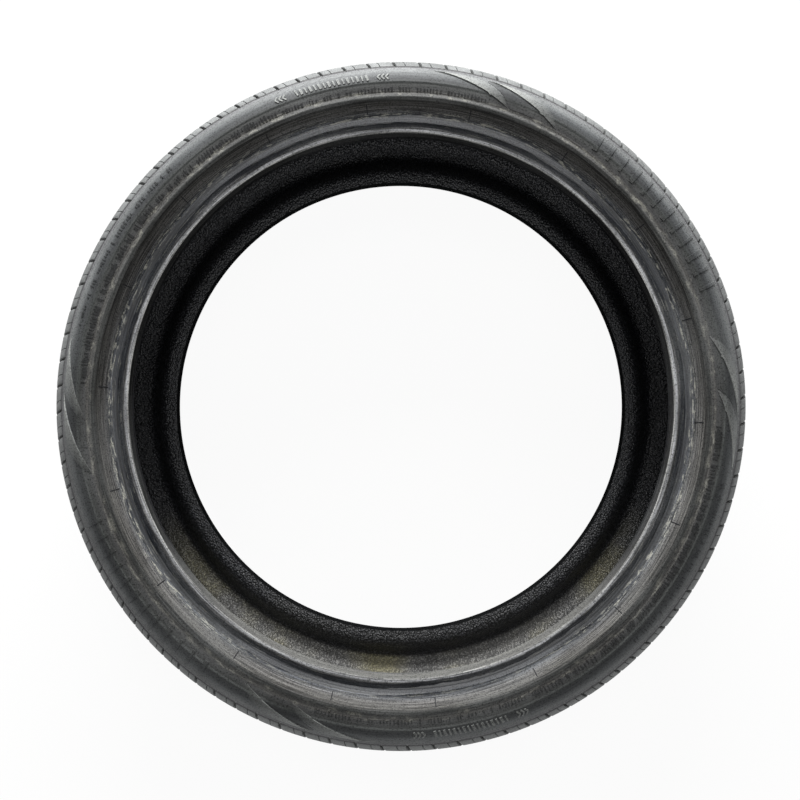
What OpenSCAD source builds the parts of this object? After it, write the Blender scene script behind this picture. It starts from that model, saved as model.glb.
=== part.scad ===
// Low-profile car tyre for a 22 inch rim, moulded in one piece, used and off its rim.
// It lies on one sidewall: Z is the wheel's axis, the origin is the tyre's centre, and the
// rim protector of the lower sidewall is what it rests on. Sizes are in millimetres.

/* [Overall] */
// Diameter of the bead seats, a little less than the rim's 563.6 for a press fit
seat_d = 562; // [560.6:0.2:563.6]
// Height of the section, from a bead seat out to the middle of the tread
section_h = 91.5; // [88:0.5:95]
// Width over the sidewalls at their widest rings
section_w = 270; // [264:1:276]

/* [Tread] */
// How far the tread's edge lies in from the widest ring, along the axis
tread_inset = 17; // [14:0.5:20]
// Radius of the tread's camber across its nearly flat middle
crown_r = 700; // [500:10:1500]
// Width of the nearly flat middle outside an outer groove
crown_margin = 5.5; // [2:0.5:10]
// How far a shoulder falls from the nearly flat middle to the tread's edge
shoulder_drop = 18.3; // [15:0.1:22]
// Height of the step between a shoulder's edge and the sidewall
shoulder_step = 1.4; // [0.8:0.1:2]
// Distance of the inner grooves' middles from the tread's middle
inner_groove_z = 21; // [18:1:24]
// Width of the inner grooves at the top
inner_groove_w = 10; // [8:0.5:12]
// Distance of the outer grooves' middles from the tread's middle
outer_groove_z = 60; // [55:1:65]
// Width of the outer grooves at the top
outer_groove_w = 9; // [7:0.5:11]
// Depth of the grooves that run round the tread
groove_depth = 6.5; // [4:0.5:8]
// How far each groove wall leans outwards over its depth
groove_draft = 0.9; // [0.3:0.1:1.5]

/* [Tread blocks] */
// Number of pattern pitches round the tread
pitches = 92; // [80:1:100]
// How much the pitches lengthen and shorten, as a share of the mean pitch
pitch_spread = 0.13; // [0:0.01:0.2]
// How many times round the tyre the pitches lengthen and shorten
pitch_waves = 4; // [1:1:6]
// Width of the cuts that run across the middle ribs
rib_cut_w = 3; // [2:0.2:4]
// Slant of the cuts across the middle ribs, from straight across
rib_slant = 34; // [20:1:40]
// How far those cuts reach into the centre rib
centre_bite = 8; // [4:1:10]
// Width of the cuts that run out over the shoulders
shoulder_cut_w = 3.2; // [2.4:0.2:5]
// Slant of the cuts over the shoulders, from straight across
shoulder_slant = 10; // [0:1:20]
// Depth of the cuts across the ribs and shoulders
cut_depth = 5.2; // [3:0.2:6]
// Depth of a shoulder cut where it runs out at the tread's edge
cut_end_depth = 2.2; // [1.6:0.2:4]
// How far a shoulder cut runs out past the tread's edge
cut_overrun = 0.6; // [0.2:0.1:2]

/* [Sidewall] */
// Height of the widest ring above the bead seat
widest_h = 47.5; // [45:0.5:50]
// Bulge of the upper sidewall above its chord
upper_bulge = 2.2; // [1:0.1:4]
// Step at the widest ring, down to the band that carries the marks
ring_step = 0.8; // [0.4:0.1:1.2]
// Bulge of the marked band above its chord
band_bulge = 0.5; // [0.2:0.1:1]
// How far the rim protector stands out past the widest ring, along the axis
protector_rise = 1; // [0.4:0.1:3]
// Height of the outer edge of the rim protector's flat top above the bead seat
protector_h = 32.4; // [30:0.2:35]
// Width of the rim protector's flat top
protector_land = 3.6; // [2:0.2:5]
// Width of the slope from the flat top out to the marked band
protector_slope = 4.5; // [3:0.1:7]

/* [Swept facets] */
// How far the facets stand out of the sidewall
facet_rise = 0.7; // [0.4:0.1:1.2]
// Gap between a facet's outer end and the tread's edge
facet_edge_gap = 6; // [4:0.5:10]
// Gap between a facet's inner end and the rim protector's slope
facet_foot_gap = 2; // [1:0.5:4]
// Angle that a facet sweeps round the tyre
facet_span = 14.5; // [8:0.5:18]
// Angle between the two facets of a pair
facet_spacing = 9.6; // [6:0.1:12]
// Angle from +X to the outer end of the pairs that sweep clockwise
facet_turn = 84.5; // [70:0.5:95]
// Angle from +X to the outer end of the pairs that sweep the other way
facet_mirror_turn = -11.5; // [-20:0.5:0]

/* [Bead] */
// How far the heels' faces lie in from the widest rings, along the axis
heel_inset = 17; // [14:0.5:20]
// Width of a heel's flat face
heel_land = 4; // [3:0.5:6]
// Radius of the edge between a heel's face and the bead seat
heel_r = 1.2; // [0.8:0.1:2.5]
// Length of the straight part of a bead seat
seat_l = 13; // [10:0.5:14]
// Axial width of a bead from heel to toe
bead_w = 18; // [17.5:0.5:22]
// How far the toe stands inside the bead seat
toe_reach = 1; // [0.4:0.1:3]
// Size of the chamfer behind the toe
toe_nose = 1.2; // [0.6:0.1:2]
// Height above the bead seat of the groove that the rim flange has pressed into the bead's face
flange_groove_h = 15.6; // [14:0.2:18]
// Depth of that groove below the heel's face
flange_groove_depth = 3; // [2:0.5:4]

/* [Carcass] */
// Thickness from the tread's surface to the inner liner
crown_t = 14; // [12:0.5:16]
// Thickness of the sidewall at its widest ring
side_t = 8.5; // [7:0.5:10]
// Height of the widest ring inside above the bead seat
inner_ring_h = 41.5; // [39:0.5:44]
// Axial thickness of the bead where it is thickest
bead_t = 21; // [20:0.5:24]
// Height above the bead seat where the bead is thickest
bead_bulge_h = 9.5; // [8:0.5:11]

/* [Hidden] */

rubber = [0.16, 0.165, 0.165];
turn_steps = 256;

seat_r = seat_d / 2;
tyre_r = seat_r + section_h;
edge_z = section_w / 2 - tread_inset;
crown_z = outer_groove_z + outer_groove_w / 2 + crown_margin;
crown_drop = crown_r - sqrt(crown_r * crown_r - crown_z * crown_z);
crown_lean = asin(crown_z / crown_r);

// The shoulder's arc goes on from the camber without a bend and ends at the tread's edge
shoulder_run = edge_z - crown_z;
shoulder_fall = atan(shoulder_drop / shoulder_run);
shoulder_r = norm([shoulder_run, shoulder_drop]) / 2 / sin(shoulder_fall - crown_lean);

// Radius of the tread's surface at a distance z from its middle, across camber and shoulder
function tread_radius(z) =
    z <= crown_z
        ? tyre_r - crown_r + sqrt(crown_r * crown_r - z * z)
        : let (s = sin(crown_lean) + (z - crown_z) / shoulder_r)
          tyre_r - crown_drop - shoulder_r * (cos(crown_lean) - sqrt(1 - s * s));

edge_r = tread_radius(edge_z);

// Points of an arc from p to q that stands out by bulge, to the right of the way from p to q
function bulged(p, q, bulge, steps) =
    let (
        chord = norm(q - p),
        radius = (chord * chord / 4 + bulge * bulge) / (2 * bulge),
        half_turn = asin(chord / 2 / radius),
        along = (q - p) / chord,
        aside = [along[1], -along[0]]
    )
    [for (i = [0:steps])
        let (turn = half_turn * (2 * i / steps - 1))
        (p + q) / 2 + along * radius * sin(turn) + aside * (radius * (cos(turn) - 1) + bulge)];

// Points of a cubic curve from a to d, led by b and c
function curve(a, b, c, d, steps) =
    [for (i = [0:steps])
        let (t = i / steps, u = 1 - t)
        a * u * u * u + 3 * b * u * u * t + 3 * c * u * t * t + d * t * t * t];

// The section is drawn as [distance from the axis, distance from the tread's middle]
function groove(middle, width) =
    let (bottom = tread_radius(middle) - groove_depth)
    [
        [tread_radius(middle - width / 2), middle - width / 2],
        [bottom, middle - width / 2 + groove_draft],
        [bottom, middle + width / 2 - groove_draft],
        [tread_radius(middle + width / 2), middle + width / 2]
    ];

shoulder_steps = 4;
shoulder = [for (i = [0:shoulder_steps])
    let (z = crown_z + shoulder_run * i / shoulder_steps)
    [tread_radius(z), z]];

upper_steps = 4;
step_lean = shoulder_step / 8;
sidewall_start = [edge_r - shoulder_step, edge_z + step_lean];
widest = [seat_r + widest_h, section_w / 2];
upper_sidewall = bulged(sidewall_start, widest, upper_bulge, upper_steps);

band_steps = 3;
land_outer = [seat_r + protector_h, widest[1] + protector_rise];
land_inner = land_outer - [protector_land, 0];
protector_foot = [land_outer[0] + protector_slope, widest[1] - ring_step];
marked_band = bulged(widest - [ring_step / 2, ring_step], protector_foot, band_bulge, band_steps);

// The hollow for the rim flange falls steeply from the flat top and runs out flat into the
// groove that the flange has pressed
hollow_steps = 6;
land_bend = [0.07, 0.3];
floor_run = [0.62, 0];
heel_z = widest[1] - heel_inset;
groove_floor = [seat_r + flange_groove_h, heel_z - flange_groove_depth];
hollow_w = land_inner[0] - groove_floor[0];
flange_hollow = curve(
    land_inner,
    land_inner - hollow_w * land_bend,
    groove_floor + hollow_w * floor_run,
    groove_floor,
    hollow_steps
);

heel_turns = 3;
heel_edge = [for (i = [0:heel_turns])
    let (turn = 90 * i / heel_turns)
    [seat_r + heel_r * (1 - sin(turn)), heel_z - heel_r * (1 - cos(turn))]];
heel = concat([[seat_r + heel_land, heel_z]], heel_edge);
seat_end = [seat_r, heel_z - heel_r - seat_l];
toe_r = seat_r - toe_reach;
toe_z = heel_z - bead_w;
toe = [[toe_r, toe_z + toe_nose], [toe_r, toe_z], [toe_r + toe_nose, toe_z - toe_nose]];

liner_steps = 5;
liner_bend = 0.4;
bead_bulge = [seat_r + bead_bulge_h, heel_z - bead_t];
inner_ring = [seat_r + inner_ring_h, widest[1] - side_t];
inner_crown = [tread_radius(crown_z) - crown_t, crown_z];
wall_lead = [(inner_ring[0] - bead_bulge[0]) / 2, 0];
shoulder_lead = [(inner_crown[0] - inner_ring[0]) / 2, 0];
crown_lead = [-crown_drop, (inner_ring[1] - inner_crown[1]) * liner_bend];
inner_wall = concat(
    curve(bead_bulge, bead_bulge + wall_lead, inner_ring - wall_lead, inner_ring, liner_steps),
    curve(inner_ring, inner_ring + shoulder_lead, inner_crown + crown_lead, inner_crown, liner_steps)
);

// One half of the section, from the tread's middle out over the shoulder and sidewall,
// round the bead, and back along the inner liner
half_section = concat(
    [[tyre_r, 0]],
    groove(inner_groove_z, inner_groove_w),
    groove(outer_groove_z, outer_groove_w),
    shoulder,
    upper_sidewall,
    marked_band,
    [land_outer],
    flange_hollow,
    heel,
    [seat_end],
    toe,
    inner_wall
);

// Drops a point that repeats the one before it
same_place = 0.01;
function distinct(points) =
    [for (i = [0:len(points) - 1])
        if (i == 0 || norm(points[i] - points[i - 1]) > same_place) points[i]];

function flipped(points) =
    [for (i = [len(points) - 1:-1:0]) [points[i][0], -points[i][1]]];

module carcass() {
    inner_middle = [tyre_r - crown_t, 0];
    rotate_extrude($fn = turn_steps)
        polygon(distinct(concat(half_section, [inner_middle], flipped(half_section))));
}

// Angle of a pitch round the tread. The pitches grow and shrink in waves, which spreads the
// tread's hum over many notes.
function pitch_angle(i) =
    let (even = 360 * i / pitches)
    even + pitch_spread * 180 / PI / pitch_waves * sin(pitch_waves * even);

// How far the V of the pattern trails, in degrees, at a distance z from the tread's middle
function trail(z) =
    (min(z, outer_groove_z) * tan(rib_slant) + max(z - outer_groove_z, 0) * tan(shoulder_slant))
    * 180 / PI / tyre_r;

cutter_clearance = 4;

// A straight cut across the tread between two distances from its middle. Its floor follows the
// tread at the depth given for each of the stops.
module cross_cut(stops, depths, slant, width) {
    first = stops[0];
    last = stops[len(stops) - 1];
    middle = (first + last) / 2;
    floor_line = [for (i = [0:len(stops) - 1])
        [tread_radius(min(stops[i], edge_z)) - depths[i], (stops[i] - middle) / cos(slant)]];
    top = tyre_r + cutter_clearance;
    outline = concat(
        floor_line,
        [[top, (last - middle) / cos(slant)], [top, (first - middle) / cos(slant)]]
    );
    rotate([0, 0, -trail(middle)])
        translate([0, 0, middle])
            rotate([slant, 0, 0])
                rotate([90, 0, 0])
                    linear_extrude(height = width, center = true)
                        polygon(outline);
}

// The cut from the centre rib through the middle rib, and the one over the shoulder. Each ends
// inside the outer groove.
module pitch_cuts() {
    cross_cut(
        [inner_groove_z - inner_groove_w / 2 - centre_bite, outer_groove_z - outer_groove_w / 4],
        [cut_depth, cut_depth],
        rib_slant,
        rib_cut_w
    );
    cross_cut(
        [
            outer_groove_z + outer_groove_w / 4,
            crown_z,
            (crown_z + edge_z) / 2,
            edge_z,
            edge_z + cut_overrun
        ],
        [cut_depth, cut_depth, cut_depth, cut_end_depth, cut_end_depth + cut_overrun],
        shoulder_slant,
        shoulder_cut_w
    );
}

module tread_cuts() {
    half_pitch = 180 / pitches;
    for (i = [0:pitches - 1]) {
        rotate([0, 0, pitch_angle(i)]) pitch_cuts();
        mirror([0, 0, 1]) rotate([0, 0, pitch_angle(i) + half_pitch]) pitch_cuts();
    }
}

// The swept facets moulded on each sidewall, two side by side at each of four places
facet_outer_r = edge_r - facet_edge_gap;
facet_inner_r = protector_foot[0] + facet_foot_gap;
facet_steps = 6;
facet_low_bend = 1.3;
facet_high_bend = 3;
facet_lean = [0.5, 0.8];
facet_root = 2;

// A blade between two curves that start together at the outer end and meet at the inner end
module facet_outline() {
    reach = facet_outer_r - facet_inner_r;
    function on(t, bend) =
        let (r = facet_outer_r - reach * pow(t, bend), a = -facet_span * t)
        [r * cos(a), r * sin(a)];
    polygon(concat(
        [for (i = [0:facet_steps]) on(i / facet_steps, facet_low_bend)],
        [for (i = [facet_steps - 1:-1:1]) on(i / facet_steps, facet_high_bend)]
    ));
}

module facet_pair() {
    for (i = [0:1]) rotate([0, 0, -i * facet_spacing]) facet_outline();
}

module facets() {
    skin = concat(upper_sidewall, marked_band);
    shell = concat(
        [for (p = skin) p + facet_rise * facet_lean],
        [for (i = [len(skin) - 1:-1:0]) skin[i] - facet_root * facet_lean]
    );
    intersection() {
        rotate_extrude($fn = turn_steps) polygon(distinct(shell));
        linear_extrude(height = section_w)
            for (side = [0, 180]) rotate([0, 0, side]) {
                rotate([0, 0, facet_turn]) facet_pair();
                rotate([0, 0, facet_mirror_turn]) mirror([0, 1, 0]) facet_pair();
            }
    }
}

// The tyre: one moulding of tread, sidewalls and beads round an inner liner
module tyre() {
    color(rubber)
        difference() {
            union() {
                carcass();
                facets();
                mirror([0, 0, 1]) facets();
            }
            tread_cuts();
        }
}

tyre();
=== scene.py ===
import math
import random

import bpy
import mathutils
import numpy as np
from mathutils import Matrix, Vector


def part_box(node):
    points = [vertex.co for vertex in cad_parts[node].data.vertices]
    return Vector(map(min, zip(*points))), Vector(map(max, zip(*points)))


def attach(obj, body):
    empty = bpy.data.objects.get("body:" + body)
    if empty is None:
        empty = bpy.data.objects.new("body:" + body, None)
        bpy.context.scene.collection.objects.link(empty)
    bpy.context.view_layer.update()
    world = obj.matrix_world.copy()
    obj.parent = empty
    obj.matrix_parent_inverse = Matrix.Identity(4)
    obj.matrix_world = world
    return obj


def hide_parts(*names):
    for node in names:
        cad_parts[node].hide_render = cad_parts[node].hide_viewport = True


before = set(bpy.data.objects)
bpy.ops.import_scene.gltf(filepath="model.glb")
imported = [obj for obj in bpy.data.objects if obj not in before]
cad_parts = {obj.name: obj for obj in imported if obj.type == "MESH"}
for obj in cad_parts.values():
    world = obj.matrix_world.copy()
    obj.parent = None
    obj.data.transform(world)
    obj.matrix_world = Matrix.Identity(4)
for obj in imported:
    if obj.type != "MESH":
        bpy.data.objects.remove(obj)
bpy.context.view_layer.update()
tyre_low, tyre_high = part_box("tyre")
tyre_r = (tyre_high[0] - tyre_low[0]) / 2
rest_z = tyre_high[2]


# Camera
# The photograph looks square at a sidewall from about a metre. The tyre lies down here, so the
# camera looks down the wheel's axis, with the photograph's top towards +Y.
photo_px = 800
focal_px = 968.0
camera_height = 1.115
camera_aside = (-0.0011, -0.0085)
camera_tilt = math.radians(0.765)

camera_data = bpy.data.cameras.new("photo_camera")
camera_data.sensor_width = 36.0
camera_data.lens = focal_px / photo_px * camera_data.sensor_width
camera_data.clip_end = 50.0
camera = bpy.data.objects.new("photo_camera", camera_data)
camera.location = (*camera_aside, camera_height)
camera.rotation_euler = (camera_tilt, 0.0, 0.0)
bpy.context.scene.collection.objects.link(camera)
bpy.context.scene.camera = camera
bpy.context.scene.view_settings.view_transform = "Standard"


# Floor
# A sheet of white background paper under the tyre. It looks nearly white to the camera and
# keeps a soft shadow, and it throws a little light back into the tyre.
def linear(hex_colour):
    """Linear RGBA of an sRGB hex colour such as "#808080"."""
    parts = [int(hex_colour[i:i + 2], 16) / 255 for i in (1, 3, 5)]
    return [p / 12.92 if p <= 0.04045 else ((p + 0.055) / 1.055) ** 2.4 for p in parts] + [1.0]


def add(tree, kind, links=None, **settings):
    """Adds a node with its settings; links gives each input a value or the socket that feeds it."""
    node = tree.nodes.new(kind)
    for key, value in settings.items():
        setattr(node, key, value)
    for key, value in (links or {}).items():
        if isinstance(value, bpy.types.NodeSocket):
            tree.links.new(value, node.inputs[key])
        else:
            node.inputs[key].default_value = value
    return node


def math_node(tree, operation, *values):
    """The outcome of one step of arithmetic on numbers or sockets."""
    return add(tree, "ShaderNodeMath", dict(enumerate(values)), operation=operation).outputs[0]


def new_material(name):
    material = bpy.data.materials.new(name)
    material.use_nodes = True
    material.node_tree.nodes.clear()
    return material, material.node_tree


def white_to_camera(tree):
    """A factor of 1 for the rays that show the background: seen straight, mirrored or through glass."""
    rays = add(tree, "ShaderNodeLightPath")
    seen = math_node(tree, "MAXIMUM", rays.outputs["Is Camera Ray"], rays.outputs["Is Glossy Ray"])
    return math_node(tree, "MAXIMUM", seen, rays.outputs["Is Transmission Ray"])


floor_size = 12.0
floor_shadow = 0.06

floor_mesh = bpy.data.meshes.new("floor")
half = floor_size / 2
floor_mesh.from_pydata(
    [(x, y, tyre_low[2]) for x, y in ((-half, -half), (half, -half), (half, half), (-half, half))],
    [],
    [(0, 1, 2, 3)],
)
floor = bpy.data.objects.new("floor", floor_mesh)
bpy.context.scene.collection.objects.link(floor)

floor_material, tree = new_material("matt_white_paper")
paper = add(tree, "ShaderNodeBsdfDiffuse", {"Color": linear("#f2f2f0")})
glow = add(tree, "ShaderNodeEmission", {"Color": (1.0, 1.0, 1.0, 1.0), "Strength": 1.0})
share = math_node(tree, "MULTIPLY", white_to_camera(tree), 1.0 - floor_shadow)
mixed = add(tree, "ShaderNodeMixShader", {0: share, 1: paper.outputs[0], 2: glow.outputs[0]})
add(tree, "ShaderNodeOutputMaterial", {"Surface": mixed.outputs[0]})
floor_mesh.materials.append(floor_material)


# Light
# A broad lamp low beyond the photograph's top edge rakes across the sidewall. One over it reaches
# the liner, weak ones from high up and from below fill the shadows, and the room adds a grey.
def soft_lamp(name, place, size, watts):
    data = bpy.data.lights.new(name, "AREA")
    data.shape = "RECTANGLE"
    data.size, data.size_y = size
    data.energy = watts
    lamp = bpy.data.objects.new(name, data)
    lamp.location = place
    lamp.rotation_euler = (-mathutils.Vector(place)).to_track_quat("-Z", "Y").to_euler()
    bpy.context.scene.collection.objects.link(lamp)


soft_lamp("raking_lamp", (-0.2, 2.25, 0.54), (1.6, 0.5), 100.0)
soft_lamp("roof_lamp", (-0.1, 1.9, 1.25), (1.0, 0.6), 50.0)
soft_lamp("high_lamp", (0.0, 0.75, 2.4), (0.8, 0.4), 13.0)
soft_lamp("fill_lamp", (0.1, -1.6, 1.6), (1.6, 1.0), 11.0)

world = bpy.data.worlds.new("studio")
bpy.context.scene.world = world
world.use_nodes = True
tree = world.node_tree
tree.nodes.clear()
room_light = 0.13
room = add(tree, "ShaderNodeBackground", {"Color": linear("#f4f6f8"), "Strength": room_light})
white = add(tree, "ShaderNodeBackground", {"Color": (1.0, 1.0, 1.0, 1.0), "Strength": 1.0})
mixed = add(tree, "ShaderNodeMixShader", {0: white_to_camera(tree), 1: room.outputs[0], 2: white.outputs[0]})
add(tree, "ShaderNodeOutputWorld", {"Surface": mixed.outputs[0]})


# Inner liner
# Soft butyl rubber, a millimetre or two thick, that keeps the air in. The moulding bladder
# leaves it with a leathery, vented skin, nearly black with painted shade in its creases, and with
# dust where the tyre stood, whose paleness on the lower wall is partly painted light.
tread_inset = 0.017
crown_z = 0.070
crown_r = 0.700
shoulder_drop = 0.0183
section_w = 0.270
crown_t = 0.014
side_t = 0.0085
inner_ring_r = 0.3225
heel_z = 0.118
bead_t = 0.021
bead_bulge_r = 0.2905
bead_w = 0.018
toe_r = 0.280
toe_nose = 0.0012
edge_z = section_w / 2 - tread_inset
crown_drop = crown_r - math.sqrt(crown_r ** 2 - crown_z ** 2)
crown_lean = math.asin(crown_z / crown_r)
shoulder_run = edge_z - crown_z
shoulder_fall = math.atan(shoulder_drop / shoulder_run)
shoulder_r = math.hypot(shoulder_run, shoulder_drop) / 2 / math.sin(shoulder_fall - crown_lean)


def tread_radius(z):
    """Radius of the tread's surface at a distance z from its middle."""
    if z <= crown_z:
        return tyre_r - crown_r + math.sqrt(crown_r ** 2 - z ** 2)
    s = math.sin(crown_lean) + (z - crown_z) / shoulder_r
    return tyre_r - crown_drop - shoulder_r * (math.cos(crown_lean) - math.sqrt(1 - s * s))


def curve(a, b, c, d, steps):
    """Points of a cubic curve from a to d, led by b and c."""
    a, b, c, d = map(np.array, (a, b, c, d))
    t = np.linspace(0, 1, steps + 1)[:, None]
    u = 1 - t
    return a * u ** 3 + 3 * b * u * u * t + 3 * c * u * t * t + d * t ** 3


def evened(points, step):
    """The same line with points a step apart."""
    points = np.asarray(points)
    along = np.r_[0, np.cumsum(np.linalg.norm(np.diff(points, axis=0), axis=1))]
    keep = np.r_[True, np.diff(along) > 1e-9]
    count = max(2, round(along[-1] / step) + 1)
    at = np.linspace(0, along[-1], count)
    return np.c_[np.interp(at, along[keep], points[keep, 0]), np.interp(at, along[keep], points[keep, 1])]


def softened(line, reach):
    """The line with its corners rounded over a number of points; its two ends stay."""
    weights = np.exp(-0.5 * (np.arange(-3 * reach, 3 * reach + 1) / reach) ** 2)
    weights /= weights.sum()
    padded = np.vstack([
        2 * line[0] - line[3 * reach:0:-1],
        line,
        2 * line[-1] - line[-2:-3 * reach - 2:-1],
    ])
    return np.c_[[np.convolve(padded[:, k], weights, "valid") for k in (0, 1)]].T


def grid_mesh(name, places, sharp_angle=None):
    """A mesh of quads from places[row][column], whose columns close on themselves round the wheel."""
    rows, columns = places.shape[:2]
    number = np.arange(rows * columns).reshape(rows, columns)
    number = np.c_[number, number[:, :1]]
    quads = np.stack(
        [number[:-1, :-1], number[:-1, 1:], number[1:, 1:], number[1:, :-1]], axis=-1
    ).reshape(-1, 4)
    mesh = bpy.data.meshes.new(name)
    mesh.from_pydata(places.reshape(-1, 3).tolist(), [], quads.tolist())
    mesh.shade_smooth()
    if sharp_angle:
        mesh.set_sharp_from_angle(angle=sharp_angle)
    return mesh


def revolved(name, line, columns):
    """The line of (radius, height) points turned round the axis."""
    turn = np.arange(columns) * 2 * math.pi / columns
    radius, height = line[:, :1], line[:, 1:]
    places = np.stack([radius * np.cos(turn), radius * np.sin(turn), height + 0 * turn], axis=-1)
    return grid_mesh(name, places)


def fit_to_tyre(name, mesh, material):
    """Puts a piece of the moulding in place, in the stead of the plain solid."""
    piece = bpy.data.objects.new(name, mesh)
    bpy.context.scene.collection.objects.link(piece)
    mesh.materials.append(material)
    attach(piece, "root")
    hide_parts("tyre")
    return piece


def wheel_places(tree):
    """Sockets for a point's place on the wheel: its xyz, radius, height and direction from the axis."""
    place = add(tree, "ShaderNodeTexCoord").outputs["Object"]
    apart = add(tree, "ShaderNodeSeparateXYZ", {0: place})
    flat = add(tree, "ShaderNodeCombineXYZ", {0: apart.outputs[0], 1: apart.outputs[1]})
    radius = add(tree, "ShaderNodeVectorMath", {0: flat.outputs[0]}, operation="LENGTH").outputs["Value"]
    around = add(tree, "ShaderNodeVectorMath", {0: flat.outputs[0]}, operation="NORMALIZE").outputs[0]
    return place, radius, apart.outputs[2], around


def spread(tree, value, low, high, to_low=0.0, to_high=1.0):
    """The value taken from low..high to another range, smoothly and no further."""
    return add(tree, "ShaderNodeMapRange", {
        "Value": value, "From Min": low, "From Max": high, "To Min": to_low, "To Max": to_high,
    }, interpolation_type="SMOOTHSTEP").outputs[0]


def blend(tree, share, first, second, mode="MIX"):
    """One colour laid over another."""
    node = add(tree, "ShaderNodeMix", data_type="RGBA", blend_type=mode)
    for index, value in ((0, share), (6, first), (7, second)):
        if isinstance(value, bpy.types.NodeSocket):
            tree.links.new(value, node.inputs[index])
        else:
            node.inputs[index].default_value = value
    return node.outputs[2]


def noise(tree, vector, scale, detail, roughness=0.5):
    """Cloudy noise about 0.5, scale clouds to the metre."""
    return add(tree, "ShaderNodeTexNoise", {
        "Vector": vector, "Scale": scale, "Detail": detail, "Roughness": roughness,
    }).outputs[0]


grain_step = 0.0024
ledge_inner = (0.3160, 0.3235)
ledge_outer = (0.3320, 0.3450)
liner_step = 0.0034
liner_columns = 540

inner_ring = np.array([inner_ring_r, section_w / 2 - side_t])
bead_bulge = np.array([bead_bulge_r, heel_z - bead_t])
inner_crown = np.array([tread_radius(crown_z) - crown_t, crown_z])
toe_z = heel_z - bead_w
toe_corner = np.array([toe_r + toe_nose, toe_z - toe_nose])
wall_lead = np.array([(inner_ring[0] - bead_bulge[0]) / 2, 0])
shoulder_lead = np.array([(inner_crown[0] - inner_ring[0]) / 2, 0])
liner_half = np.vstack([
    toe_corner,
    curve(bead_bulge, bead_bulge + wall_lead, inner_ring - wall_lead, inner_ring, 24),
    curve(
        inner_ring,
        inner_ring + shoulder_lead,
        inner_crown + [-crown_drop, (inner_ring[1] - inner_crown[1]) * 0.4],
        inner_crown,
        24,
    )[1:],
    [tyre_r - crown_t, 0],
])
liner_line = softened(evened(np.vstack([liner_half, liner_half[-2::-1] * [1, -1]]), 0.001), 3)
liner_line = evened(liner_line, liner_step)

liner_material, tree = new_material("butyl_liner")
place, radius, height, around = wheel_places(tree)
# Pebbled skin of the bladder, its grains two or three millimetres long and leaning one way
leaning = add(tree, "ShaderNodeMapping", {
    "Vector": place, "Rotation": (0.3, 0.5, 0.7), "Scale": (1.0, 1.0, 0.55),
})
cells = add(tree, "ShaderNodeTexVoronoi", {"Vector": leaning.outputs[0], "Scale": 1 / grain_step})
creases = noise(tree, place, 0.6 / grain_step, 3.0, 0.65)
skin_height = math_node(tree, "SUBTRACT", creases, cells.outputs["Distance"])
skin_bump = add(tree, "ShaderNodeBump", {"Height": skin_height, "Strength": 1.0, "Distance": 0.0014})
# Grey dust that settled in the lower part while the tyre stood, laid on heaviest over the ledge of
# the lower wall that faces the lamps, so that its paleness there is partly painted light
split = add(tree, "ShaderNodeSeparateXYZ", {0: around})
low_down = spread(tree, split.outputs[1], -0.35, -1.0, 0.0, 1.1)
patchy = noise(tree, place, 9.0, 5.0)
ledge = math_node(
    tree, "MULTIPLY",
    spread(tree, radius, *ledge_inner, 0.02, 1.0), spread(tree, radius, *ledge_outer, 1.0, 0.25),
)
on_wall = math_node(tree, "MULTIPLY", ledge, spread(tree, patchy, 0.3, 0.6, 0.3, 1.0))
dust_and_light = math_node(tree, "MULTIPLY", low_down, on_wall)
# It lies thickest on the raised grains
on_grains = math_node(tree, "MULTIPLY", dust_and_light, spread(tree, skin_height, -0.05, 0.35, 0.5, 1.5))
# Painted shade: the skin darker down in its creases than on its raised grains
liner_colour = blend(tree, spread(tree, skin_height, -0.05, 0.35), linear("#202123"), linear("#4c4d51"))
dust_colour = blend(tree, spread(tree, patchy, 0.42, 0.6), linear("#a8a7a4"), linear("#a19c80"))
liner_colour = blend(tree, on_grains, liner_colour, dust_colour)
shader = add(tree, "ShaderNodeBsdfPrincipled", {
    "Base Color": liner_colour,
    "Roughness": 0.36,
    "Specular IOR Level": 0.4,
    "Normal": skin_bump.outputs[0],
})
add(tree, "ShaderNodeOutputMaterial", {"Surface": shader.outputs[0]})
fit_to_tyre("inner_liner", revolved("inner_liner", liner_line, liner_columns), liner_material)


# Sidewalls and beads
# Natural and butadiene rubber with carbon black, moulded with fine rings, then dulled by dust
# and weather. The rim has polished the bead: its seat is pale and smooth, its face streaked.
shoulder_step = 0.0014
step_lean = shoulder_step / 8
seam_z = edge_z + 0.0012
widest_r = 0.3285
upper_bulge = 0.0022
ring_step = 0.0008
band_bulge = 0.0005
protector_foot_r = 0.3179
protector_r = 0.3134
protector_land = 0.0036
land_fall = 0.0008
land_bend = np.array([0.07, 0.3])
floor_run = np.array([0.62, 0.0])
flange_groove_r = 0.2966
flange_groove_depth = 0.003
seat_r = 0.281
heel_land = 0.004
heel_r = 0.0012
seat_l = 0.013
inside_r = 0.270
fine_step = 0.0002
upper_step = 0.00062
lower_step = 0.00100
sidewall_columns = 540


def bulged(p, q, bulge, steps):
    """Points of an arc from p to q that stands out by bulge, to the right of the way."""
    p, q = np.array(p), np.array(q)
    chord = np.linalg.norm(q - p)
    radius = (chord * chord / 4 + bulge * bulge) / (2 * bulge)
    half_turn = math.asin(chord / 2 / radius)
    along = (q - p) / chord
    aside = np.array([along[1], -along[0]])
    turn = np.linspace(-half_turn, half_turn, steps + 1)[:, None]
    return (p + q) / 2 + along * radius * np.sin(turn) + aside * (radius * (np.cos(turn) - 1) + bulge)


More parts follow.
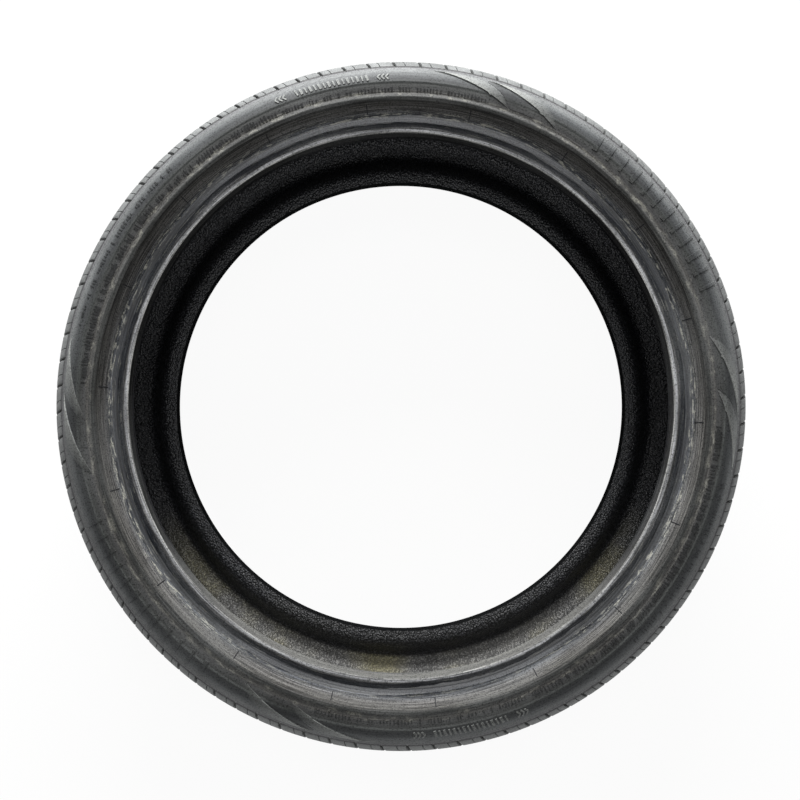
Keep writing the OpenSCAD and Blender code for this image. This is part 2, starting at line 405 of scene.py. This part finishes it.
edge_r = tread_radius(edge_z)
sidewall_start = (edge_r - shoulder_step, edge_z + step_lean)
widest = np.array([widest_r, section_w / 2])
groove_floor = np.array([flange_groove_r, heel_z - flange_groove_depth])
land_inner = np.array([protector_r - protector_land, rest_z - land_fall])
hollow_w = land_inner[0] - flange_groove_r
heel_turn = np.radians(np.arange(0, 91, 10))[:, None]
sidewall_line = np.vstack([
    bulged(sidewall_start, widest, upper_bulge, 24),
    bulged(
        widest - [ring_step / 2, ring_step],
        (protector_foot_r, section_w / 2 - ring_step),
        band_bulge,
        12,
    ),
    (protector_r, rest_z),
    curve(
        land_inner, land_inner - hollow_w * land_bend, groove_floor + hollow_w * floor_run, groove_floor, 24
    ),
    (seat_r + heel_land, heel_z),
    np.hstack([seat_r + heel_r * (1 - np.sin(heel_turn)), heel_z - heel_r * (1 - np.cos(heel_turn))]),
    (seat_r, heel_z - heel_r - seat_l),
    (toe_r, toe_z + toe_nose),
    (toe_r, toe_z),
    toe_corner,
])

# Fine moulded rings: a point near each one, its width and its height, down to striae on the seat
rings = [
    ((0.3465, 0.1215), 0.0010, 0.00035),
    ((0.3277, 0.1343), 0.0007, 0.00030),
    ((0.3190, 0.1345), 0.0008, 0.00025),
    ((0.3086, 0.1310), 0.0006, 0.00025),
    ((0.3070, 0.1265), 0.0006, 0.00022),
    ((0.3050, 0.1220), 0.0005, 0.00020),
    ((0.3018, 0.1180), 0.0006, -0.00030),
    ((0.2985, 0.1155), 0.0006, 0.00020),
    ((0.2940, 0.1158), 0.0009, -0.00040),
    ((0.2920, 0.1163), 0.0006, 0.00030),
    ((0.2890, 0.1170), 0.0006, -0.00025),
    ((0.2865, 0.1178), 0.0005, 0.00020),
    ((0.2810, 0.1140), 0.0008, 0.00012),
    ((0.2810, 0.1100), 0.0008, 0.00012),
    ((0.2810, 0.1060), 0.0008, 0.00012),
]


def ringed(line):
    """The line with the fine rings raised on it."""
    run = np.gradient(line, axis=0)
    run /= np.linalg.norm(run, axis=1)[:, None]
    outward = np.c_[run[:, 1], -run[:, 0]]
    along = np.r_[0, np.cumsum(np.linalg.norm(np.diff(line, axis=0), axis=1))]
    lift = np.zeros(len(line))
    for near, width, rise in rings:
        middle = along[np.argmin(np.linalg.norm(line - near, axis=1))]
        lift += rise * np.exp(-0.5 * ((along - middle) / (width / 2)) ** 2)
    return line + outward * lift[:, None]


full_sidewall = softened(evened(sidewall_line, fine_step), 2)
smooth_sidewall = full_sidewall[np.argmax(full_sidewall[:, 1] > seam_z):]
moulded = ringed(smooth_sidewall)


def flipped(line):
    """The line for the other side of the tyre."""
    return line[::-1] * [1, -1]


rubber_material, tree = new_material("weathered_tyre_rubber")
place, radius, height, around = wheel_places(tree)
# Tone of each band from the bead's toe out to the tread's edge, by its distance from the axis
tones = [
    (0.2800, "#141516"), (0.28105, "#141516"), (0.28125, "#9b9b98"), (0.2845, "#8f9093"),
    (0.2852, "#616161"), (0.2862, "#3e3e3e"), (0.2880, "#505052"), (0.2900, "#363739"),
    (0.2922, "#2c2e31"), (0.2935, "#222428"), (0.2985, "#24262a"), (0.3000, "#3c3e42"),
    (0.3020, "#454648"), (0.3050, "#504f4e"), (0.3085, "#4c4b49"), (0.3098, "#2c2c2b"),
    (0.3130, "#292a29"), (0.3150, "#484847"), (0.3185, "#474644"), (0.3205, "#3c3c3c"),
    (0.3270, "#383938"), (0.3283, "#3a3c3b"), (0.3320, "#363738"), (0.3360, "#3e4041"),
    (0.3400, "#4f5152"), (0.3430, "#5e6060"), (0.3470, "#606162"), (0.3495, "#59595c"),
]
tone_low, tone_high = tones[0][0], tones[-1][0]
band = add(tree, "ShaderNodeMapRange", {"Value": radius, "From Min": tone_low, "From Max": tone_high})
ramp = add(tree, "ShaderNodeValToRGB", {0: band.outputs[0]})
while len(ramp.color_ramp.elements) < len(tones):
    ramp.color_ramp.elements.new(0.5)
for stop, (at, tone) in zip(ramp.color_ramp.elements, tones):
    stop.position = (at - tone_low) / (tone_high - tone_low)
for stop, (at, tone) in zip(ramp.color_ramp.elements, tones):
    stop.color = linear(tone)


def streaks(turns, fineness, detail, start=0.0):
    """Noise drawn out round the wheel: turns blotches to the radius, fineness to the metre across."""
    across = math_node(tree, "ADD", math_node(tree, "MULTIPLY", radius, fineness), start)
    lift = math_node(tree, "ADD", across, math_node(tree, "MULTIPLY", height, fineness))
    vector = add(tree, "ShaderNodeVectorMath", {
        0: around,
        1: (turns, turns, turns),
        2: add(tree, "ShaderNodeCombineXYZ", {2: lift}).outputs[0],
    }, operation="MULTIPLY_ADD")
    return noise(tree, vector.outputs[0], 1.0, detail, 0.6)


def ring_mask(inner, outer, soft, at):
    """1 between two radii, falling to 0 over a soft edge outside them."""
    return math_node(
        tree, "MULTIPLY", spread(tree, at, inner - soft, inner), spread(tree, at, outer + soft, outer)
    )


# Rubbing marks that follow the rim's edge, strong on the bead and faint on the sidewall
rubbed = streaks(5.0, 700.0, 5.0)
hairlines = streaks(2.5, 2600.0, 3.0, 40.0)
rub_share = spread(tree, radius, 0.3190, 0.3080, 0.22, 1.0)
colour = blend(tree, rub_share, ramp.outputs[0], spread(tree, rubbed, 0.32, 0.68, 0.3, 1.9), "MULTIPLY")
colour = blend(tree, rub_share, colour, spread(tree, hairlines, 0.35, 0.65, 0.45, 1.6), "MULTIPLY")
# The dark band that the rim's flange has polished, wandering in and out round the bead
wander = math_node(tree, "MULTIPLY", math_node(tree, "SUBTRACT", streaks(1.6, 0.0, 1.0, 7.0), 0.5), 0.012)
ragged = math_node(tree, "MULTIPLY", math_node(tree, "SUBTRACT", streaks(18.0, 300.0, 5.0), 0.5), 0.005)
wandering = math_node(tree, "ADD", radius, math_node(tree, "ADD", wander, ragged))
dark_share = math_node(tree, "MULTIPLY", ring_mask(0.2872, 0.2918, 0.0006, wandering), 0.75)
colour = blend(tree, dark_share, colour, linear("#1c1e22"))
dashes = math_node(
    tree, "MULTIPLY", ring_mask(0.2885, 0.2995, 0.0030, radius),
    spread(tree, streaks(7.0, 420.0, 4.0, 90.0), 0.56, 0.60),
)
colour = blend(tree, math_node(tree, "MULTIPLY", dashes, 0.8), colour, linear("#17191e"))
# Pale smears of old mounting paste outside the flange groove, few in its lowest part
split = add(tree, "ShaderNodeSeparateXYZ", {0: around})
paste_share = math_node(
    tree, "MULTIPLY", ring_mask(0.2995, 0.3015, 0.0026, wandering),
    spread(tree, streaks(26.0, 420.0, 6.0), 0.52, 0.60),
)
paste_share = math_node(
    tree, "MULTIPLY", paste_share, spread(tree, split.outputs[1], -0.95, -0.70, 0.2, 0.8)
)
colour = blend(tree, paste_share, colour, linear("#9f9e95"))
thin_paste = math_node(
    tree, "MULTIPLY", ring_mask(0.2850, 0.3090, 0.0020, radius),
    spread(tree, streaks(9.0, 1500.0, 5.0, 20.0), 0.60, 0.68),
)
colour = blend(tree, math_node(tree, "MULTIPLY", thin_paste, 0.55), colour, linear("#95948a"))
# Painted highlight: a ring beside the groove made pale over two wide arcs, at the top and bottom, for the
# sheen of its polish there
ends = math_node(tree, "ABSOLUTE", split.outputs[1])
ends = math_node(tree, "ADD", ends, math_node(tree, "MULTIPLY", streaks(9.0, 60.0, 3.0, 60.0), 0.4))
painted_ring_highlight = math_node(
    tree, "MULTIPLY", ring_mask(0.2932, 0.2976, 0.0007, radius), spread(tree, ends, 0.88, 1.10, 0.0, 0.9)
)
painted_ring_highlight = math_node(tree, "MULTIPLY", painted_ring_highlight, spread(tree, hairlines, 0.38, 0.60, 0.35, 1.0))
colour = blend(tree, painted_ring_highlight, colour, linear("#787a7e"))
# Dust caught at the protector's foot and about the marks
caught_share = math_node(
    tree, "MULTIPLY", ring_mask(0.3160, 0.3180, 0.0040, radius),
    spread(tree, streaks(22.0, 220.0, 6.0), 0.5, 0.66, 0.0, 0.7),
)
colour = blend(tree, caught_share, colour, linear("#83827a"))
# Grey bloom in wide faint patches, and painted light on the near bead's seat and toe below the axis, where
# they face the lamps
bloom = noise(tree, place, 7.0, 6.0, 0.6)
colour = blend(tree, spread(tree, bloom, 0.4, 0.75, 0.0, 0.2), colour, linear("#7b7d7d"))
painted_seat_light = math_node(
    tree, "MULTIPLY", spread(tree, split.outputs[1], -0.45, -0.85),
    ring_mask(inside_r, 0.2813, 0.0006, radius),
)
painted_seat_light = math_node(tree, "MULTIPLY", painted_seat_light, spread(tree, height, 0.0, 0.05))
colour = blend(tree, painted_seat_light, colour, linear("#6c6c69"))
# Fine dark lines scored round the seat and heel, and the other bead's edge darkened nearly to black
scored = math_node(
    tree, "MULTIPLY", ring_mask(inside_r, 0.2846, 0.0006, radius),
    spread(tree, hairlines, 0.50, 0.60, 0.0, 0.75),
)
colour = blend(tree, scored, colour, linear("#3b3a3d"))
far_edge = math_node(
    tree, "MULTIPLY", ring_mask(inside_r, 0.2828, 0.0005, radius),
    spread(tree, height, -0.02, -0.06, 0.0, 0.96),
)
colour = blend(tree, far_edge, colour, linear("#1d1e1f"))
# Painted highlight: the faces of the raised marks made pale, palest near the blades' outer tips, for the
# sheen they catch
painted_light = add(tree, "ShaderNodeAttribute", attribute_name="painted_light").outputs["Fac"]
painted_mark_highlight = math_node(tree, "MULTIPLY", painted_light, spread(tree, bloom, 0.3, 0.6, 0.6, 1.0))
colour = blend(tree, painted_mark_highlight, colour, linear("#a5a7a3"))
# Painted shade: the grounds beside the blades, the fine ribs and the tall bars made darker, for the shade
# among the raised marks
colour = blend(tree, math_node(tree, "MULTIPLY", painted_light, -1.0), colour, linear("#161718"))
# The rubber's own grain
grain = noise(tree, place, 640.0, 5.0, 0.7)
colour = blend(tree, spread(tree, grain, 0.3, 0.7, 0.2, 1.8), (0.0, 0.0, 0.0, 1.0), colour)
grain_bump = add(tree, "ShaderNodeBump", {"Height": grain, "Strength": 0.35, "Distance": 0.0003})
rubbed_bump = add(tree, "ShaderNodeBump", {
    "Height": rubbed, "Strength": math_node(tree, "MULTIPLY", rub_share, 0.5), "Distance": 0.0005,
    "Normal": grain_bump.outputs[0],
})
# Half matt outside the heel and matt on the seat. The rim's flange has polished the ring about the
# groove in the way of turn, so its shine spreads across its rubbing.
polished = ring_mask(0.2925, 0.2990, 0.0008, wandering)
around_axis = add(tree, "ShaderNodeTangent", direction_type="RADIAL", axis="Z")
dull = spread(tree, bloom, 0.3, 0.7, 0.5, 0.62)
gloss = math_node(
    tree, "ADD", spread(tree, radius, 0.3330, 0.3400, 0.08, 0.2), math_node(tree, "MULTIPLY", polished, 0.6)
)
past_seat = spread(tree, radius, 0.2812, 0.2820)
shader = add(tree, "ShaderNodeBsdfPrincipled", {
    "Base Color": colour,
    "Roughness": add(tree, "ShaderNodeMix", {0: polished, 2: dull, 3: 0.42}).outputs[0],
    "Specular IOR Level": math_node(tree, "MULTIPLY", past_seat, gloss),
    "Anisotropic": math_node(tree, "MULTIPLY", polished, 0.97),
    "Anisotropic Rotation": 0.25,
    "Tangent": around_axis.outputs[0],
    "Normal": rubbed_bump.outputs[0],
})
add(tree, "ShaderNodeOutputMaterial", {"Surface": shader.outputs[0]})

upper_line = evened(moulded, upper_step)
lower_line = flipped(evened(moulded, lower_step))
fit_to_tyre("sidewall_upper", revolved("sidewall_upper", upper_line, sidewall_columns), rubber_material)
fit_to_tyre("sidewall_lower", revolved("sidewall_lower", lower_line, sidewall_columns), rubber_material)


# Tread
# Harder rubber cured on over the steel belts. Four grooves run round it and slanted cuts trail
# outwards as a V, with fine sipes between; the pitches vary so that the tread doesn't hum.
pitches = 92
pitch_spread = 0.13
pitch_waves = 4
inner_groove_z, inner_groove_w = 0.021, 0.010
outer_groove_z, outer_groove_w = 0.060, 0.009
groove_depth = 0.0065
groove_draft = 0.0009
rib_cut_w, rib_slant = 0.0030, math.radians(34)
shoulder_cut_w, shoulder_slant = 0.0032, math.radians(10)
centre_bite = 0.008
cut_depth = 0.0052
cut_end_depth = 0.0022
cut_overrun = 0.0006
cut_draft = 0.0003
edge_round = 0.00045
sipe_w = 0.0007
sipe_lip = 0.00012
sipe_depth = 0.0035
sipe_inset = 0.004
lip_share = 0.09
block_angle = math.radians(32)


def pitch_turn(i):
    """Angle of a pitch round the tread, lengthening and shortening in waves."""
    even = 2 * math.pi * i / pitches
    return even + pitch_spread / pitch_waves * math.sin(pitch_waves * even)


def trail(z):
    """How far the V trails at a distance z from the tread's middle, as an angle."""
    on_ribs = min(z, outer_groove_z) * math.tan(rib_slant)
    on_shoulder = max(z - outer_groove_z, 0) * math.tan(shoulder_slant)
    return (on_ribs + on_shoulder) / tyre_r


def tread_rows():
    """The rows across half the tread: distance from the middle, radius, depth of a ring groove,
    depth of a cut and of a sipe there."""
    rows = []

    def row(z, ring=0.0, cut=0.0, sipe=0.0, drop=0.0):
        rows.append((z, tread_radius(min(z, edge_z)) - drop, ring, cut, sipe))

    bite = inner_groove_z - inner_groove_w / 2 - centre_bite
    row(0.0)
    row(bite / 2)
    row(bite - edge_round)
    row(bite, 0.0, edge_round / 2)
    row(bite + cut_draft, 0.0, cut_depth)
    for z in np.linspace(bite + 0.0025, inner_groove_z - inner_groove_w / 2 - edge_round, 3):
        row(z, 0.0, cut_depth)
    for middle, width in ((inner_groove_z, inner_groove_w), (outer_groove_z, outer_groove_w)):
        near, far = middle - width / 2, middle + width / 2
        row(near, edge_round / 2, cut_depth)
        row(near + groove_draft, groove_depth, cut_depth)
        row(middle, groove_depth, cut_depth)
        row(far - groove_draft, groove_depth, cut_depth)
        row(far, edge_round / 2, cut_depth)
        if middle == inner_groove_z:
            row(far + edge_round, 0.0, cut_depth)
            sipe_ends = (far + sipe_inset, outer_groove_z - outer_groove_w / 2 - sipe_inset)
            row(sipe_ends[0] - cut_draft, 0.0, cut_depth)
            for z in np.linspace(*sipe_ends, 7):
                row(z, 0.0, cut_depth, sipe_depth)
            row(sipe_ends[1] + cut_draft, 0.0, cut_depth)
            row(outer_groove_z - outer_groove_w / 2 - edge_round, 0.0, cut_depth)
        else:
            row(far + edge_round, 0.0, cut_depth)
    start = outer_groove_z + outer_groove_w / 2 + 0.003
    row(start, 0.0, cut_depth)
    row(start + cut_draft, 0.0, cut_depth, sipe_depth)
    fall = (crown_z + edge_z) / 2
    for z in np.linspace(start + 0.004, edge_z - 0.0006, 13):
        t = min(max((z - fall) / (edge_z - fall), 0.0), 1.0)
        row(z, 0.0, cut_depth + (cut_end_depth - cut_depth) * t, sipe_depth * (1 - 0.6 * t))
    row(edge_z - 0.0001, edge_round / 3, cut_end_depth, sipe_depth * 0.4)
    return rows


def tread_half(name, side, late):
    """Half of the tread, on one side of its middle, with its cuts late by a share of a pitch."""
    rows = tread_rows()
    step_line = [
        (edge_z + step_lean, edge_r - shoulder_step, 0.0, cut_end_depth - shoulder_step, 0.0),
        (edge_z + cut_overrun, None, 0.0, cut_end_depth - shoulder_step, 0.0),
        (edge_z + cut_overrun + 0.0001, None, 0.0, 0.0, 0.0),
        (seam_z, None, 0.0, 0.0, 0.0),
    ]
    # The step's foot follows the sidewall's first few centimetres
    climb = full_sidewall[:200]
    for z, r, *depths in step_line:
        if r is None:
            r = float(np.interp(z, climb[:, 1], climb[:, 0]))
        rows.append((z, r, *depths))
    z, r, ring, cut, sipe = map(np.array, zip(*rows))
    shoulder = np.clip((z - (outer_groove_z - outer_groove_w / 4)) / (outer_groove_w / 2), 0, 1)
    half_cut = (rib_cut_w + (shoulder_cut_w - rib_cut_w) * shoulder) / 2 / r
    depth_rows, turn_rows = [], []
    starts = [pitch_turn(i + late) for i in range(pitches + 1)]
    lean = np.array([trail(v) for v in z])
    for k in range(pitches):
        gap = starts[k + 1] - starts[k]
        sipe_at = gap * (0.5 + 0.10 * np.clip((z - 0.045) / 0.05, -1, 1))
        columns = [
            (-half_cut - edge_round / r, 0.0, 0.0),
            (-half_cut, lip_share, 0.0),
            (-half_cut + cut_draft / r, 1.0, 0.0),
            (half_cut - cut_draft / r, 1.0, 0.0),
            (half_cut, lip_share, 0.0),
            (half_cut + edge_round / r, 0.0, 0.0),
            ((half_cut + sipe_at) / 2, 0.0, 0.0),
            (sipe_at - (sipe_w / 2 + sipe_lip) / r, 0.0, 0.0),
            (sipe_at - sipe_w / 2 / r, 0.0, 1.0),
            (sipe_at + sipe_w / 2 / r, 0.0, 1.0),
            (sipe_at + (sipe_w / 2 + sipe_lip) / r, 0.0, 0.0),
            ((gap - half_cut + sipe_at) / 2, 0.0, 0.0),
        ]
        for aside, cut_share, sipe_share in columns:
            turn_rows.append(starts[k] + aside - lean)
            depth_rows.append(np.maximum(ring, np.maximum(cut * cut_share, sipe * sipe_share)))
    turn, depth = np.array(turn_rows).T, np.array(depth_rows).T
    deep = r[:, None] - depth
    height = z[:, None] * side + 0 * turn
    places = np.stack([deep * np.cos(turn), deep * np.sin(turn), height], axis=-1)
    if side < 0:
        places, depth = places[::-1], depth[::-1]
    mesh = grid_mesh(name, places, block_angle)
    sunk = mesh.attributes.new("sunk", "FLOAT", "POINT")
    sunk.data.foreach_set("value", depth.ravel())
    return mesh


tread_material, tree = new_material("worn_tread_rubber")
place, radius, height, around = wheel_places(tree)
sunk = add(tree, "ShaderNodeAttribute", attribute_name="sunk").outputs["Fac"]
# Road dust on the blocks, colour darkening with depth down in the grooves, and a dark line along the step
# beside the sidewall
road = noise(tree, place, 26.0, 7.0, 0.62)
colour = blend(tree, spread(tree, road, 0.35, 0.7), linear("#494b4b"), linear("#616363"))
colour = blend(tree, spread(tree, sunk, 0.0004, 0.0030), colour, linear("#2b2c2b"))
from_middle = math_node(tree, "ABSOLUTE", height)
step_darkening = spread(tree, from_middle, edge_z - 0.0003, edge_z + 0.0001, 0.0, 0.75)
colour = blend(tree, step_darkening, colour, linear("#262326"))
scuff = noise(tree, place, 420.0, 4.0, 0.7)
colour = blend(tree, spread(tree, scuff, 0.45, 0.8, 0.0, 0.4), colour, linear("#848685"))
scuff_bump = add(tree, "ShaderNodeBump", {"Height": scuff, "Strength": 0.5, "Distance": 0.0006})
shader = add(tree, "ShaderNodeBsdfPrincipled", {
    "Base Color": colour, "Roughness": 0.68, "Normal": scuff_bump.outputs[0],
})
add(tree, "ShaderNodeOutputMaterial", {"Surface": shader.outputs[0]})

fit_to_tyre("tread_upper", tread_half("tread_upper", 1, 0.0), tread_material)
fit_to_tyre("tread_lower", tread_half("tread_lower", -1, 0.5), tread_material)


# Sidewall marks
# Raised in the same moulding: swept facets, arrows for the way it turns, plain bars and rows of
# fine ribs, some faces pale with painted highlight and others dark with painted shade. All follow the
# sidewall's curve, and thin vent lines, near black with painted shade, cross the flange's hollow.
mark_skirt = 0.00025
mark_foot = -0.0003
mark_angle = math.radians(40)
facet_outer = edge_r - 0.006
facet_inner = protector_foot_r + 0.002
facet_sweep = math.radians(14.5)
facet_spacing = math.radians(9.6)
facet_low_bend = 1.3
facet_high_bend = 4.5
facet_rise = 0.0014
mark_rise = 0.0009
row_r = 0.3345
arrow_spacing = 0.72
arrow_arm_l, arrow_arm_w = 0.0046, 0.0015
arrow_arm_apart = 0.0017
arrow_lean = math.radians(-48)
slant_spacing = 0.84
slant_l, slant_w, slant_more_w = 0.0072, 0.0017, 0.0009
slant_lean = math.radians(76)
tall_spacing = 2.9
tall_r, tall_l, tall_w, tall_more_w = 0.3340, 0.0195, 0.0030, 0.0022
tall_lean = math.radians(84)
tall_rise = 0.0010
rib_rise = 0.0006
vent_lines_round = 18
vent_first = 13.4
vent_r, vent_l, vent_w, vent_rise = 0.3055, 0.0062, 0.0008, 0.0002

outer_face = smooth_sidewall[smooth_sidewall[:, 0] > protector_r]
outer_face = outer_face[np.argsort(outer_face[:, 0])]
face_run = np.gradient(outer_face, axis=0)
face_run /= np.linalg.norm(face_run, axis=1)[:, None]
in_hollow = (smooth_sidewall[:, 0] < protector_r) & (smooth_sidewall[:, 0] > flange_groove_r + 0.001)
hollow_face = smooth_sidewall[in_hollow]
hollow_face = hollow_face[np.argsort(hollow_face[:, 0])]


def on_face(turn, radius, rise, side, face):
    """Points raised over the sidewall's face, at a turn round it and a radius."""
    height = np.interp(radius, face[:, 0], face[:, 1])
    slope = np.interp(radius, face[1:, 0], np.diff(face[:, 1]) / np.diff(face[:, 0]))
    size = np.sqrt(1 + slope ** 2)
    out = radius - rise * slope / size
    up = np.minimum(height + rise / size, rest_z)
    return np.stack([out * np.cos(turn), out * np.sin(turn), up * side], axis=-1)


class Marks:
    """Raised patches gathered into one mesh."""

    def __init__(self, side):
        self.side, self.places, self.quads, self.painted_light = side, [], [], []

    def patch(self, places, painted_light):
        """Adds a grid of places, whose columns run outwards and whose rows run counter-clockwise."""
        if self.side < 0:
            places, painted_light = places[:, ::-1], painted_light[:, ::-1]
        rows, columns = places.shape[:2]
        number = len(self.places) + np.arange(rows * columns).reshape(rows, columns)
        corners = [number[:-1, :-1], number[:-1, 1:], number[1:, 1:], number[1:, :-1]]
        self.quads += np.stack(corners, axis=-1).reshape(-1, 4).tolist()
        self.places += places.reshape(-1, 3).tolist()
        self.painted_light += painted_light.ravel().tolist()

    def bar(self, turn, radius, length, width, lean, rise, face=None, painted_light=0.25):
        """A straight bar: lean is the angle from the direction round the wheel, outwards."""
        def stops(size, count):
            inner = np.linspace(-size / 2, size / 2, count)
            return np.r_[-size / 2 - mark_skirt, inner, size / 2 + mark_skirt]

        along = stops(length, max(2, 2 + int(length / 0.004)))[:, None]
        aside = stops(width, 2)[None, :]
        lift = np.full((along.size, aside.size), rise)
        lift[[0, -1], :] = mark_foot
        lift[:, [0, -1]] = mark_foot
        c, s = math.cos(lean), math.sin(lean)
        turns = turn + (along * c - aside * s) / radius
        radii = radius + along * s + aside * c
        places = on_face(turns, radii, lift, self.side, outer_face if face is None else face)
        # Painted light on the bar's top: pale as highlight where positive, dark as shade where negative
        self.patch(places, painted_light * (lift > 0))

    def swept(self, turn, sweep, low, high, lift, painted_light):
        """A patch between two radii given along a sweep; lift and worn have a value for each point."""
        t = np.linspace(0.0, 1.0, len(low))[:, None]
        share = np.linspace(0, 1, lift.shape[1])[None, :]
        low, high = low[:, None], np.maximum(high, low + 0.0001)[:, None]
        radii = np.hstack([low - mark_skirt, low + (high - low) * share, high + mark_skirt])
        foot = np.full((len(low), 1), mark_foot)
        places = on_face(
            turn + sweep * t + 0 * radii, radii, np.hstack([foot, lift, foot]), self.side, outer_face
        )
        painted_light = np.hstack([0 * foot, painted_light, 0 * foot])
        if sweep < 0:
            places, painted_light = places[::-1], painted_light[::-1]
        self.patch(places, painted_light)

    def blade(self, turn, sweep, outer, inner, rise):
        """A swept facet between two curves, highest along its inner edge."""
        t = np.linspace(0.0, 1.0, 44)
        low = outer - (outer - inner) * t ** facet_low_bend
        high = outer - (outer - inner) * t ** facet_high_bend + 0.0003
        share = np.linspace(0, 1, 7)[None, :]
        crest = np.minimum(1.0, 9 * t * (1 - t) + 0.05)[:, None]
        lift = rise * crest * (1 - 0.75 * share)
        # Painted highlight: palest near the outer tip, fading inwards
        painted_light = (0.62 - 0.35 * share) * np.clip(1.25 - 1.2 * t, 0, 1)[:, None]
        self.swept(turn, sweep, low, high, lift, painted_light)

    def ground(self, turn, sweep, outer, inner, rise):
        """The ground between a blade's back and the next blade's inner edge, painted dark as shade, darkest
        beside that inner edge.
        """
        spacing = facet_spacing / facet_sweep
        u = np.linspace(0.0, 0.66, 30)
        high = outer - (outer - inner) * u ** facet_low_bend - 0.0003
        back = np.clip(u + spacing, 0, 1)
        low = outer - (outer - inner) * back ** facet_high_bend + 0.0006
        low = np.where(u + spacing > 1, inner + 0.0003, low)
        share = np.linspace(0, 1, 9)[None, :]
        lift = rise * (0.35 - 0.25 * share) + 0 * u[:, None]
        fade = np.clip(1.35 - 1.6 * u, 0, 1)[:, None]
        self.swept(turn, sweep * u[-1], low, high, lift, -0.6 * fade * (0.45 + 0.55 * share))

    def mesh(self, name):
        mesh = bpy.data.meshes.new(name)
        mesh.from_pydata(self.places, [], self.quads)
        mesh.shade_smooth()
        mesh.set_sharp_from_angle(angle=mark_angle)
        mesh.attributes.new("painted_light", "FLOAT", "POINT").data.foreach_set("value", self.painted_light)
        return mesh


def clockwise(degrees):
    """A turn given clockwise from the photograph's top, as an angle from +X."""
    return math.radians(90 - degrees)


def sidewall_marks(name, side):
    marks = Marks(side)
    chance = random.Random(7)
    for half_turn in (0, 180):
        for start, way in ((5.5, -1), (101.5, 1)):
            first = clockwise(start + half_turn)
            for turn in (first, first + way * facet_spacing):
                marks.blade(turn, way * facet_sweep, facet_outer, facet_inner, facet_rise)
            marks.ground(
                first + way * facet_spacing, way * facet_sweep, facet_outer, facet_inner, facet_rise
            )
        # Arrowheads for the direction of turn, with a row of slanted bars between them
        # Their faces are pale with painted highlight
        for place in (337.7, 356.1):
            for k in range(3):
                for arm in (-1, 1):
                    marks.bar(
                        clockwise(place + half_turn + arrow_spacing * k), row_r + arm * arrow_arm_apart,
                        arrow_arm_l, arrow_arm_w, arm * arrow_lean, mark_rise, painted_light=0.4,
                    )
        for k in range(16):
            marks.bar(
                clockwise(341.4 + half_turn + slant_spacing * k), row_r,
                slant_l, slant_w + slant_more_w * (k % 2), slant_lean, mark_rise, painted_light=0.35,
            )
        # Tall plain bars at the broad places, their faces a little dark with painted shade
        for k in range(12):
            marks.bar(
                clockwise(37 + half_turn + tall_spacing * k), tall_r,
                tall_l, tall_w + tall_more_w * (k % 3 == 0), tall_lean, tall_rise, painted_light=-0.08,
            )
        # Rows of fine ribs, in groups like the lines on a ruler: where each row starts and ends
        # clockwise, its radius and the height of a rib
        for start, end, at, tall in (
            (284, 316, 0.3365, 0.0046), (275, 309, 0.3230, 0.0068), (313, 376, 0.3205, 0.0042),
            (94, 156, 0.3225, 0.0050),
        ):
            place = start
            while place < end:
                wide = chance.choice((0.0010, 0.0014, 0.0020))
                # Painted shade: each rib is darkened
                marks.bar(
                    clockwise(place + half_turn), at, tall * chance.choice((0.6, 1.0, 1.0)), wide,
                    math.radians(90), rib_rise, painted_light=-0.6,
                )
                place += chance.choice((0.55, 0.6, 0.7, 1.5))
    return marks.mesh(name)


def vent_lines(name, side):
    marks = Marks(side)
    for k in range(vent_lines_round):
        marks.bar(
            clockwise(vent_first + 360 / vent_lines_round * k), vent_r,
            vent_l, vent_w, math.radians(90), vent_rise, hollow_face, 0.0,
        )
    return marks.mesh(name)


fit_to_tyre("sidewall_marks_upper", sidewall_marks("sidewall_marks_upper", 1), rubber_material)
fit_to_tyre("sidewall_marks_lower", sidewall_marks("sidewall_marks_lower", -1), rubber_material)
# Painted shade: the vent lines are near black for the shade they show
vent_shade_material, tree = new_material("vent_painted_shade")
shader = add(tree, "ShaderNodeBsdfPrincipled", {
    "Base Color": linear("#1b1c1e"), "Roughness": 0.6, "Specular IOR Level": 0.2,
})
add(tree, "ShaderNodeOutputMaterial", {"Surface": shader.outputs[0]})
fit_to_tyre("vent_lines_upper", vent_lines("vent_lines_upper", 1), vent_shade_material)
fit_to_tyre("vent_lines_lower", vent_lines("vent_lines_lower", -1), vent_shade_material)
